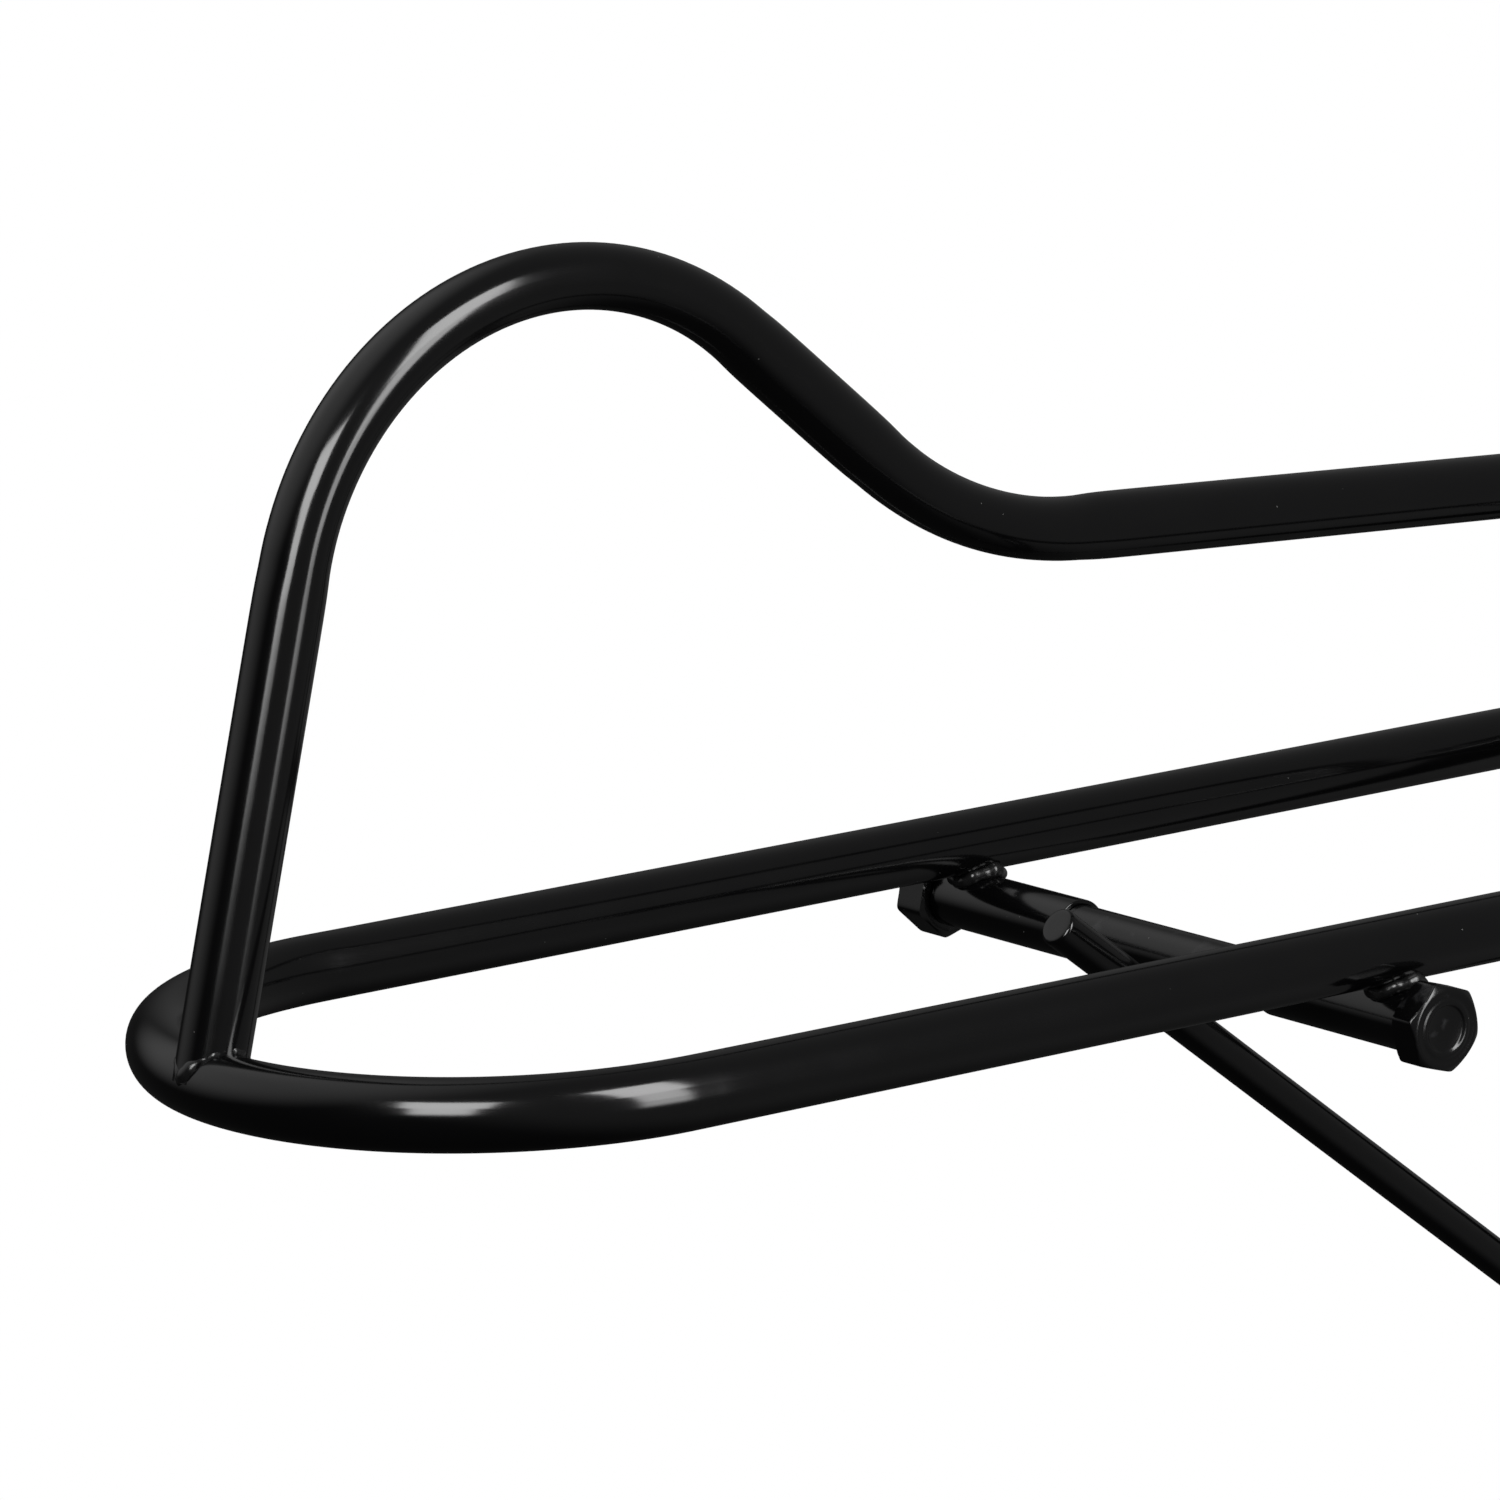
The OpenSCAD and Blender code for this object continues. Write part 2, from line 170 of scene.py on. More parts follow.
class SaddleRackBrace(bpy.types.PropertyGroup):
    bar_radius: length("Bar Radius", "Radius of the brace bar", 6 * MM)
    bar_angle: angle("Brace Angle", "Angle of the brace below level", 38.0)
    bar_offset: length("Brace Offset", "From the bolt's axis to the brace's", 15 * MM)
    bar_stub: length("Brace Stub", "Length of the brace past the pivot bolt", 46 * MM)
    foot_radius: length("Foot Radius", "Outer radius of the rubber foot", 9 * MM)
    foot_length: length("Foot Length", "Length of the rubber foot on the bar", 34 * MM)


class SaddleRackFinish(bpy.types.PropertyGroup):
    paint: colour("Paint", "Colour of the gloss paint", (0.0012, 0.0012, 0.0013))
    paint_gloss: factor("Paint Roughness", "Roughness of the gloss paint", 0.13)
    peel: factor("Orange Peel", "Depth of the ripple in the paint", 0.10)
    dust: colour("Dust", "Colour of the dust specks", (0.14, 0.14, 0.135))
    zinc: colour("Zinc", "Colour of the plated hinge bolt", (0.52, 0.53, 0.55))
    rubber: colour("Rubber", "Colour of the foot", (0.018, 0.018, 0.018))
    plastic: colour("Plastic", "Colour of the rail plugs", (0.022, 0.022, 0.022))
    nylon: colour("Nylon", "Colour of the hinge bushes", (0.78, 0.77, 0.72))


class SaddleRackStudio(bpy.types.PropertyGroup):
    lens: FloatProperty(name="Lens", description="Focal length in mm", default=151.3, min=10)
    camera_back: length("Camera Distance", "From the bend's centre to the camera", 1.7514)
    camera_side: length("Camera Side", "Camera to the right of that centre", 0.0694)
    camera_rise: length("Camera Rise", "Camera above that centre", 0.0769)
    camera_yaw: angle("Camera Yaw", "Turn of the view from square on", 35.64)
    camera_pitch: angle("Camera Pitch", "Tilt of the view below level", 11.66)
    camera_roll: angle("Camera Roll", "Lean of the camera about its view", 1.65)
    light_back: length("Light Distance", "From that centre to the softboxes", 2.2)
    glow: FloatProperty(name="Glow", description="Brightness of the softboxes", default=10, min=0)
    dark_side: factor("Dark Side", "Brightness of the room's dark side", 0.02)
    bright_side: factor("Bright Side", "Brightness of the room's bright side", 0.18)
    back_side: factor("Back Screen", "Brightness of the screen behind", 0.7)
    floor_drop: length("Floor Drop", "Depth of the floor below the rails", 0.95)
    backdrop: colour("Backdrop", "Colour of the floor and backdrop", (1.0, 1.0, 1.0))


# Surfaces --------------------------------------------------------------------


def unit(v):
    """Vectors scaled to length 1 along the last axis."""
    v = np.asarray(v, float)
    return v / np.linalg.norm(v, axis=-1, keepdims=True)


def turn_angles(count):
    """count equal angles round a full turn, without the last repeat."""
    return np.arange(count) * 2 * pi / count


def quads(rows, cols, wrap_rows):
    """Corner indices of the cells of a grid whose columns close on themselves."""
    row = np.arange(rows if wrap_rows else rows - 1)[:, None]
    col = np.arange(cols)[None, :]
    here, below = row * cols, (row + 1) % rows * cols
    right = (col + 1) % cols
    cells = np.stack([here + col, here + right, below + right, below + col], -1)
    return cells.reshape(-1, 4)


def signed_volume(points, tris):
    """Sum of the tetrahedra from the origin to each triangle: positive if faces point out."""
    a, b, c = (points[tris[:, k]] for k in range(3))
    return np.einsum("ij,ij->i", a, np.cross(b, c)).sum() / 6


def placed(name, data):
    """A new object in the scene that holds a mesh, a lamp or a camera."""
    item = bpy.data.objects.new(name, data)
    bpy.context.scene.collection.objects.link(item)
    return item


def shaded(name, mesh, sharp):
    """An object whose faces are smooth except across edges sharper than an angle."""
    mesh.shade_smooth()
    mesh.set_sharp_from_angle(angle=radians(sharp))
    return placed(name, mesh)


def make_piece(name, points, cells, caps, sharp=35.0):
    """A mesh object from grid cells and cap triangles, turned so that its faces point out."""
    middle = points.mean(0)
    split = np.concatenate([cells[:, [0, 1, 2]], cells[:, [0, 2, 3]], caps])
    if signed_volume(points - middle, split) < 0:
        cells, caps = cells[:, ::-1], caps[:, ::-1]
    mesh = bpy.data.meshes.new(name)
    mesh.from_pydata(points.tolist(), [], cells.tolist() + caps.tolist())
    mesh.validate()
    return shaded(name, mesh, sharp)


def closed_piece(name, rings, sharp=35.0):
    """A skin over rows of closed rings, (rows, cols, 3), with a fan over each end ring."""
    rows, cols = rings.shape[:2]
    points = np.concatenate([rings.reshape(-1, 3), [rings[0].mean(0), rings[-1].mean(0)]])
    col = np.arange(cols)
    nxt, last = (col + 1) % cols, (rows - 1) * cols
    first_fan = np.stack([np.full(cols, rows * cols), nxt, col], -1)
    last_fan = np.stack([np.full(cols, rows * cols + 1), last + col, last + nxt], -1)
    fans = np.concatenate([first_fan, last_fan])
    return make_piece(name, points, quads(rows, cols, False), fans, sharp)


def hoop_piece(name, rings, sharp=35.0):
    """A skin over closed rings whose last row joins the first, like a doughnut."""
    rows, cols = rings.shape[:2]
    no_caps = np.empty((0, 3), int)
    return make_piece(name, rings.reshape(-1, 3), quads(rows, cols, True), no_caps, sharp)


def turned(name, origin, axis, rows, maker=closed_piece):
    """A piece turned about an axis from (distance down it, radius) rows."""
    along, radius = np.array(rows, float).T
    return maker(name, around(origin, axis, along, radius))


def joined(name, parts):
    """One object from several, for alike pieces that share a node."""
    lead = parts[0]
    work = bmesh.new()
    for part in parts:
        work.from_mesh(part.data)
    work.to_mesh(lead.data)
    work.free()
    for part in parts[1:]:
        bpy.data.objects.remove(part)
    lead.name = lead.data.name = name
    return lead


def cross_frame(axis):
    """Two unit vectors square to an axis and to each other."""
    axis = unit(axis)
    helper = Z_AXIS if abs(axis[2]) < 0.9 else X_AXIS
    side = unit(np.cross(helper, axis))
    return side, np.cross(axis, side)


def around(origin, axis, along, radius):
    """Rings about an axis: along is the distance down it and radius the reach from it.

    along has one value a row; radius has one a row, or one for each row and column.
    """
    along = np.asarray(along, float)
    radius = np.asarray(radius, float)
    if radius.ndim == 1:
        radius = np.repeat(radius[:, None], TURNS, 1)
    side, up = cross_frame(axis)
    theta = turn_angles(radius.shape[1])
    spokes = np.cos(theta)[:, None] * side + np.sin(theta)[:, None] * up
    centre = np.asarray(origin) + along[:, None] * unit(axis)
    return centre[:, None, :] + radius[:, :, None] * spokes


def swept(points, inward, across, half_in, half_across, sides):
    """Elliptic rings carried along a path.

    At each point the ring is half_in * cos(t) along inward plus half_across * sin(t) along
    across, for t round a full turn.
    """
    t = turn_angles(sides)
    ring = (half_in[:, None] * np.cos(t))[..., None] * inward[:, None, :]
    ring = ring + (half_across[:, None] * np.sin(t))[..., None] * across
    return points[:, None, :] + ring


def route(start, heading, legs, step=3 * MM):
    """A flat path of straights and arcs.

    legs holds (length, turn): a straight has turn 0, and an arc turns its heading evenly over
    its length. Returns the points (n, 2), the headings and the share of each point that lies
    inside a bend, which fades over about a tube's width at the bend's ends.
    """
    place, dist, bends = np.array(start, float), 0.0, []
    points, headings, stations = [], [], []
    for run, turn in legs:
        count = max(3, int(round(run / step)) + 1)
        s = np.linspace(0, run, count)
        now = heading + turn * s / run
        if turn:
            chord = np.stack([np.sin(now) - sin(heading), cos(heading) - np.cos(now)], -1)
            step_out = run / turn * chord
            bends.append((dist, dist + run))
        else:
            step_out = s[:, None] * np.array([cos(heading), sin(heading)])
        keep = slice(1 if points else 0, None)
        points.append((place + step_out)[keep])
        headings.append(now[keep])
        stations.append((dist + s)[keep])
        place = place + step_out[-1]
        heading, dist = heading + turn, dist + run
    stations = np.concatenate(stations)
    inside = np.zeros_like(stations)
    crease = np.zeros_like(stations)
    for a, b in bends:
        inside += 0.5 * (np.tanh((stations - a) / BEND_FADE) - np.tanh((stations - b) / BEND_FADE))
        for edge in (a, b):
            crease += np.exp(-(((stations - edge) / CREASE_WIDTH) ** 2))
    return np.concatenate(points), np.concatenate(headings), inside, crease


def bent_tube(name, start, heading, legs, plane, across, sizes):
    """A tube along a flat route, squeezed in its bends.

    plane holds the directions of the route's two coordinates. The thickness in the bend's
    plane is the tube's, less a share in each bend and less a small crease where a bend
    starts; the thickness across it grows by a fifth of the share.
    """
    flat, headings, inside, crease = route(start, heading, legs)
    inward = np.stack([-np.sin(headings), np.cos(headings)], -1) @ plane
    squeeze, radius = sizes.squeeze, sizes.tube_radius
    half_in = radius * (1 - squeeze * inside - CREASE_DEPTH * crease)
    half_across = radius * (1 + 0.2 * squeeze * inside)
    rings = swept(flat @ plane, unit(inward), across, half_in, half_across, sizes.sides)
    return closed_piece(name, rings)


def bead(name, path, outward, radius, lumps, phase, tacks=()):
    """Weld metal along a closed path: a round bead whose radius swells and sinks.

    radius times 1 + 0.10 sin(lumps s) + 0.05 sin(2.3 lumps s + phase) + 0.05 sin(5 s), where
    s runs once round the path, plus a bell-shaped swelling for each tack, given as its
    place in degrees, its width in degrees and its height.
    """
    s = turn_angles(len(path))
    along = unit(np.roll(path, -1, 0) - np.roll(path, 1, 0))
    outward = unit(outward - np.sum(outward * along, -1, keepdims=True) * along)
    second = np.cross(along, outward)
    swell = 1 + 0.10 * np.sin(lumps * s) + 0.05 * np.sin(round(2.3 * lumps) * s + phase)
    size = radius * (swell + 0.05 * np.sin(5 * s + phase))
    for place, width, height in tacks:
        away = (s - radians(place) + pi) % (2 * pi) - pi
        size = size + height * np.exp(-((away / radians(width)) ** 2))
    t = turn_angles(BEAD_TURNS)
    ring = np.cos(t)[None, :, None] * outward[:, None, :]
    ring = ring + np.sin(t)[None, :, None] * second[:, None, :]
    slide = 0.15 * radius * np.sin((lumps - 1) * s)[:, None] * second
    rings = (path + slide)[:, None, :] + size[:, None, None] * ring
    return hoop_piece(name, rings, sharp=60)


def first_crossing(gap, low, high, count=40):
    """Where gap(t) passes zero between low and high, by halving, for a whole array at once."""
    for _ in range(count):
        middle = (low + high) / 2
        over = gap(middle) > 0
        low, high = np.where(over, low, middle), np.where(over, middle, high)
    return (low + high) / 2


def saddle_path(foot, axis, radius, gap, reach, count=160):
    """The curve where a tube that stands on another meets it.

    Round the standing tube, each line of its wall runs out from the foot until gap says that
    it leaves the other tube. Returns the curve and the wall's outward direction.
    """
    side, up = cross_frame(axis)
    theta = turn_angles(count)[:, None]
    spokes = np.cos(theta) * side + np.sin(theta) * up
    wall = np.asarray(foot) + radius * spokes
    axis = unit(axis)
    t = first_crossing(lambda t: gap(wall + t[:, None] * axis), np.zeros(count), np.full(count, reach))
    return wall + t[:, None] * axis, spokes


def notch_path(contact, up, axis_a, radius_a, axis_b, radius_b, between, width, count=120):
    """The loop round the place where two crossed bars nearly touch.

    Bar a is above and b below, with their surfaces between apart at the nearest point. In
    each direction the loop lies where the gap has opened to width; it runs midway between
    the surfaces. Returns the loop and its outward direction.
    """
    psi = turn_angles(count)
    east = unit(np.cross(up, axis_a))
    north = unit(np.cross(up, axis_b))
    plane_x = unit(axis_a)
    plane_y = np.cross(up, plane_x)
    away = np.cos(psi)[:, None] * plane_x + np.sin(psi)[:, None] * plane_y
    off_a, off_b = np.abs(away @ east), np.abs(away @ north)

    def rise(rho):
        over = radius_a - np.sqrt(np.maximum(radius_a**2 - (rho * off_a) ** 2, 0))
        under = radius_b - np.sqrt(np.maximum(radius_b**2 - (rho * off_b) ** 2, 0))
        return over, under

    rho = first_crossing(
        lambda r: sum(rise(r)) + between - width, np.zeros(count), np.full(count, 9 * MM)
    )
    over, under = rise(rho)
    middle = np.asarray(contact) + rho[:, None] * away + ((over - under) / 2)[:, None] * up
    return middle, away


def hexagon(across_flats, theta):
    """Reach of a hexagon from its centre at each angle, a flat facing angle 0."""
    sixth = pi / 3
    return across_flats / 2 / np.cos((theta + sixth / 2) % sixth - sixth / 2)


def softer_min(a, b, power):
    """The smaller of two lengths, rounded where they meet: (a^-p + b^-p)^(-1/p)."""
    ratio = np.minimum(a, b) / np.maximum(a, b)
    return np.minimum(a, b) * (1 + ratio**power) ** (-1 / power)


def hex_rings(origin, axis, across_flats, profile, turn):
    """Rings about an axis, each the smaller of a hexagon and a circle.

    profile rows are (along, circle radius); a circle smaller than the flats gives a round
    section, and one near the corners gives their chamfer.
    """
    profile = np.array(profile, float)
    flat = hexagon(across_flats, turn_angles(HEX_TURNS) + turn)[None, :]
    flat = softer_min(flat, 0.985 * across_flats / 2 / cos(pi / 6), 60)
    return around(origin, axis, profile[:, 0], softer_min(flat, profile[:, 1:2], 90))


def thread_rows(start, end, radius, pitch):
    """(along, radius grid) of a screw thread: a smoothed saw of depth 0.5 pitch along a helix."""
    along = np.arange(start, end, pitch / 8)
    theta = turn_angles(HEX_TURNS)
    wave = 0.5 + 0.5 * np.cos(2 * pi * along[:, None] / pitch - theta[None, :])
    return along, radius - 0.5 * pitch * wave**1.4


def softened(name, node, width, segments=2):
    """A copy of a flat-sided CAD node with its doubles merged and its edges rounded."""
    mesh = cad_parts[node].data.copy()
    mesh.materials.clear()
    work = bmesh.new()
    work.from_mesh(mesh)
    bmesh.ops.remove_doubles(work, verts=work.verts, dist=2e-6)
    bmesh.ops.dissolve_limit(
        work, angle_limit=radians(1), verts=work.verts, edges=work.edges, delimit=set()
    )
    edges = [e for e in work.edges if e.is_manifold and e.calc_face_angle() > radians(30)]
    bmesh.ops.bevel(
        work, geom=edges, offset=width, segments=segments, profile=0.5, affect="EDGES",
        clamp_overlap=True,
    )
    bmesh.ops.triangulate(work, faces=[f for f in work.faces if len(f.verts) > 4])
    work.to_mesh(mesh)
    work.free()
    mesh.name = name
    return shaded(name, mesh, 40)


# Materials -------------------------------------------------------------------


def node_of(tree, kind, inputs=(), **settings):
    """A new node right of the last one, with its inputs set, or linked to another's output."""
    node = tree.nodes.new(kind)
    node.location = (NODE_STEP * (len(tree.nodes) - MOST_NODES), 0)
    for key, value in settings.items():
        setattr(node, key, value)
    for key, value in dict(inputs).items():
        socket = node.inputs[key]
        if isinstance(value, bpy.types.NodeSocket):
            tree.links.new(value, socket)
        else:
            socket.default_value = (*value, 1) if socket.type == "RGBA" else value
    return node


class Look:
    """A material while it is made: its shader's inputs, and patterns in object coordinates."""

    def __init__(self, name, base, roughness, metallic=0.0):
        self.material = bpy.data.materials.new(name)
        self.material.use_nodes = True
        self.tree = self.material.node_tree
        self.shader = self.tree.nodes["Principled BSDF"].inputs
        self.shader["Base Color"].default_value = (*base, 1)
        self.shader["Roughness"].default_value = roughness
        self.shader["Metallic"].default_value = metallic
        self.coords = node_of(self.tree, "ShaderNodeTexCoord").outputs["Object"]

    def noise(self, scale, detail, stretch=None):
        """A noise pattern of that many ripples a metre."""
        place = self.coords
        if stretch:
            inputs = {"Vector": place, "Scale": stretch}
            place = node_of(self.tree, "ShaderNodeMapping", inputs).outputs["Vector"]
        inputs = {"Vector": place, "Scale": scale, "Detail": detail}
        return node_of(self.tree, "ShaderNodeTexNoise", inputs).outputs["Fac"]

    def remap(self, value, source=(0, 1), target=(0, 1)):
        """Carries a value from one range to another."""
        inputs = dict(enumerate((value, *source, *target)))
        return node_of(self.tree, "ShaderNodeMapRange", inputs).outputs["Result"]

    def blend(self, share, low, high):
        """Mixes two colours by a share."""
        inputs = {"Factor": share, 6: low, 7: high}
        return node_of(self.tree, "ShaderNodeMix", inputs, data_type="RGBA").outputs[2]

    def math(self, operation, a, b):
        inputs = {0: a, 1: b}
        return node_of(self.tree, "ShaderNodeMath", inputs, operation=operation).outputs[0]

    def specks(self, scale, size, share):
        """Small round dust specks: the middles of some cells of a cell pattern."""
        inputs = {"Vector": self.coords, "Scale": scale}
        cells = node_of(self.tree, "ShaderNodeTexVoronoi", inputs).outputs
        dot = self.remap(cells["Distance"], source=(size, 0.4 * size))
        tint = node_of(self.tree, "ShaderNodeSeparateColor", {"Color": cells["Color"]})
        return self.math("MULTIPLY", dot, self.math("LESS_THAN", tint.outputs["Red"], share))

    def finished(self, base, roughness, *bumps):
        """Links colour, roughness and a chain of bumps, each (height, strength, depth in m)."""
        chain = {}
        for height, strength, depth in bumps:
            inputs = {"Height": height, "Strength": strength, "Distance": depth, **chain}
            chain = {"Normal": node_of(self.tree, "ShaderNodeBump", inputs).outputs["Normal"]}
        links = {"Base Color": base, "Roughness": roughness, **chain}
        for socket, value in links.items():
            self.tree.links.new(value, self.shader[socket])
        return self.material


def gloss_paint(name, finish):
    """Black powder paint: orange peel, faint cloudiness and a few dust specks."""
    gloss, peel_depth = finish.paint_gloss, 0.05 * MM
    look = Look(name, finish.paint, gloss)
    lighter = [1.6 * c for c in finish.paint]
    cloudy = look.blend(look.noise(26, 3), finish.paint, lighter)
    dust = look.specks(260, 0.065, 0.07)
    streaks = look.remap(look.noise(60, 4), target=(0.75 * gloss, 1.35 * gloss))
    broad, fine = look.noise(130, 2), look.noise(520, 2)
    return look.finished(
        look.blend(dust, cloudy, finish.dust), streaks, (broad, finish.peel, peel_depth),
        (fine, finish.peel, 0.4 * peel_depth), (dust, 0.5, 0.1 * MM),
    )


def fastener_paint(name, finish):
    """Thinner paint over a hard bolt: rougher, with grey rubbed patches."""
    look = Look(name, finish.paint, 0.24)
    rub = look.remap(look.noise(90, 6), source=(0.60, 0.78))
    rubbed = look.blend(rub, finish.paint, WORN)
    base = look.blend(look.specks(420, 0.09, 0.08), rubbed, finish.dust)
    dull = look.remap(rub, target=(0.20, 0.42))
    return look.finished(base, dull, (look.noise(700, 4), 0.25, 0.06 * MM), (rub, 0.2, 0.03 * MM))


def weld_paint(name, finish):
    """Paint over weld metal: pitted and rippled."""
    look = Look(name, finish.paint, 0.18)
    pits = look.noise(380, 5)
    base = look.blend(pits, finish.paint, PITTED)
    dull = look.remap(pits, target=(0.12, 0.34))
    return look.finished(base, dull, (pits, 0.3, 0.25 * MM), (look.noise(900, 3), 0.15, 0.06 * MM))


def plated_steel(name, finish):
    """Zinc plate: crystal mottle, fine scratches and duller patches."""
    look = Look(name, finish.zinc, 0.32, metallic=1.0)
    red, green, blue = finish.zinc
    mottle = look.noise(240, 6)
    darker = [0.62 * c for c in finish.zinc]
    base = look.blend(mottle, darker, (red, 0.98 * green, 0.86 * blue))
    patches = look.remap(look.noise(70, 4), target=(0.22, 0.46))
    scratch = look.noise(900, 2, stretch=(1, 0.06, 1))
    return look.finished(base, patches, (scratch, 0.2, 0.03 * MM), (mottle, 0.15, 0.04 * MM))


def moulded(name, base_colour, roughness, grain_scale, grain_depth):
    """Moulded rubber or plastic: fine grain and scuffs."""
    look = Look(name, base_colour, roughness)
    scuff = look.remap(look.noise(55, 6), source=(0.50, 0.75))
    lighter = [min(1.0, 1.7 * c + 0.004) for c in base_colour]
    base = look.blend(scuff, base_colour, lighter)
    dull = look.remap(scuff, target=(roughness, 1.25 * roughness))
    grain = look.noise(grain_scale, 3)
    return look.finished(base, dull, (grain, 0.4, grain_depth), (scuff, 0.15, grain_depth))


def make_materials(finish):
    """One material for each finish, named by the record's slot."""
    return {
        PAINT: gloss_paint(PAINT, finish),
        WELD: weld_paint(WELD, finish),
        BOLT: fastener_paint(BOLT, finish),
        ZINC: plated_steel(ZINC, finish),
        "nylon": moulded("nylon", finish.nylon, 0.45, 600, 0.03 * MM),
        "black_plastic": moulded("black_plastic", finish.plastic, 0.42, 900, 0.04 * MM),
        "black_rubber": moulded("black_rubber", finish.rubber, 0.62, 1100, 0.07 * MM),
    }


MATERIALS = {}


def finish_piece(piece, body, slot, *nodes):
    """Gives a piece its material and its body, and hides the CAD nodes that it stands for."""
    if not MATERIALS:
        MATERIALS.update(make_materials(bpy.context.scene.saddle_rack_finish))
    piece.data.materials.clear()
    piece.data.materials.append(MATERIALS[slot])
    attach(piece, body)
    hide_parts(*nodes)
    return piece


# Places that several pieces share ---------------------------------------------


def bend_centre(tubes):
    """Centre of the rails' front bend, from the loop's own box."""
    return np.array([LOOP_LOW.x + tubes.bend_radius + tubes.tube_radius, 0.0, 0.0])


def rail_line(tubes, side):
    """Start and direction of one rail's axis: where the bend ends, and toward the wall."""
    splay = tubes.rail_splay
    out = np.array([-sin(splay), side * cos(splay), 0.0])
    return bend_centre(tubes) + tubes.bend_radius * out, np.array([cos(splay), side * sin(splay), 0.0])


def rail_at(tubes, side, x):
    """The point of a rail's axis at x."""
    start, along = rail_line(tubes, side)
    return start + along * (x - start[0]) / along[0]


def off_line(start, along, radius):
    """How far points lie outside a round bar about a line."""
    along = unit(along)

    def gap(points):
        away = points - start
        return np.linalg.norm(away - (away @ along)[:, None] * along, axis=-1) - radius

    return gap


def off_bend(tubes):
    """How far points lie outside the tube of the front bend."""
    centre = bend_centre(tubes)

    def gap(points):
        away = points - centre
        ring = np.hypot(away[:, 0], away[:, 1]) - tubes.bend_radius
        return np.hypot(ring, away[:, 2]) - tubes.tube_radius

    return gap


def brace_line(brace):
    """The point of the brace's axis nearest to the pivot bolt, and its direction to the wall."""
    down = brace.bar_angle
    along = np.array([cos(down), 0.0, -sin(down)])
    under = np.array([-sin(down), 0.0, -cos(down)])
    return np.array(PIVOT) * [1, 0, 1] + brace.bar_offset * under, along


# Operators ---------------------------------------------------------------------


class RackOperator(bpy.types.Operator):
    """Shared by every operator that makes part of the rack"""

    bl_options = {"REGISTER", "UNDO"}


class SADDLERACK_OT_rails(RackOperator):
    """Make the loop of side rails and the plugs in its ends"""

    bl_idname = "saddlerack.rails"
    bl_label = "Side Rails"

    def execute(self, context):
        tubes = context.scene.saddle_rack_tubes
        start, along = rail_line(tubes, 1)
        run = (LOOP_HIGH.x - start[0] - tubes.tube_radius * sin(tubes.rail_splay)) / along[0]
        rear = start + along * run
        half_turn = pi - 2 * tubes.rail_splay
        legs = [(run, 0.0), (tubes.bend_radius * half_turn, half_turn), (run, 0.0)]
        plane = np.array([X_AXIS, Y_AXIS])
        heading = pi + tubes.rail_splay
        loop = bent_tube("side_rails", rear[:2], heading, legs, plane, Z_AXIS, tubes)
        finish_piece(loop, RACK, PAINT, "side_rail_loop")
        plugs = [self.plug(tubes, side, run) for side in (-1, 1)]
        finish_piece(joined("rail_plugs", plugs), RACK, "black_plastic", "rail_end_plugs")
        return {"FINISHED"}

    def plug(self, tubes, side, run):
        """A domed cap: its rim rounds over in a quarter circle, with a moulded dimple."""
        start, along = rail_line(tubes, side)
        rim, cap, seat, stem = 1.2 * MM, 1.9 * MM, 0.05 * MM, 9 * MM
        radius = tubes.tube_radius - 0.1 * MM
        rows = [(-stem, 0.80 * radius), (1 * MM - stem, 0.84 * radius), (seat, 0.84 * radius),
                (seat, radius)]
        rows += [(cap - rim + rim * sin(a), radius - rim + rim * cos(a))
                 for a in np.linspace(0, pi / 2, 9)]
        rows += [(cap, 0.45 * radius), (cap - 0.5 * MM, 0.38 * radius), (cap - 0.6 * MM, 0.1 * radius)]
        return turned("plug", start + along * run, along, rows)


class SADDLERACK_OT_spine(RackOperator):
    """Make the spine tube with its front leg, hump, hollow and rear bend"""

    bl_idname = "saddlerack.spine"
    bl_label = "Spine"

    def execute(self, context):
        tubes = context.scene.saddle_rack_tubes
        foot = bend_centre(tubes) - [tubes.bend_radius, 0, 0]
        up = pi / 2 - tubes.leg_lean
        hump_turn = up + tubes.hump_fall
        hollow_turn = tubes.hump_fall - tubes.spine_fall
        rear_turn = pi / 2 - tubes.spine_fall
        legs = [
            (tubes.leg_length, 0.0),
            (tubes.hump_radius * hump_turn, -hump_turn),
            (tubes.fall_length, 0.0),
            (tubes.hollow_radius * hollow_turn, hollow_turn),
        ]
        flat = route(foot[[0, 2]], up, legs)[0][-1]
        reach = CROSSBAR.x - flat[0] - tubes.rear_radius * (1 - sin(tubes.spine_fall))
        spine = reach / cos(tubes.spine_fall)
        top = flat[1] - spine * sin(tubes.spine_fall) - tubes.rear_radius * cos(tubes.spine_fall)
        post = top - CROSSBAR.z - 4 * MM
        legs += [(spine, 0.0), (tubes.rear_radius * rear_turn, -rear_turn), (post, 0.0)]
        plane = np.array([X_AXIS, Z_AXIS])
        piece = bent_tube("spine", foot[[0, 2]], up, legs, plane, Y_AXIS, tubes)
        crest = max(v.co.z for v in piece.data.vertices)
        if abs(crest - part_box("spine_tube")[1].z) > 2 * MM:
            raise RuntimeError("the spine's sizes no longer match the frame")
        finish_piece(piece, RACK, PAINT, "spine_tube")
        return {"FINISHED"}


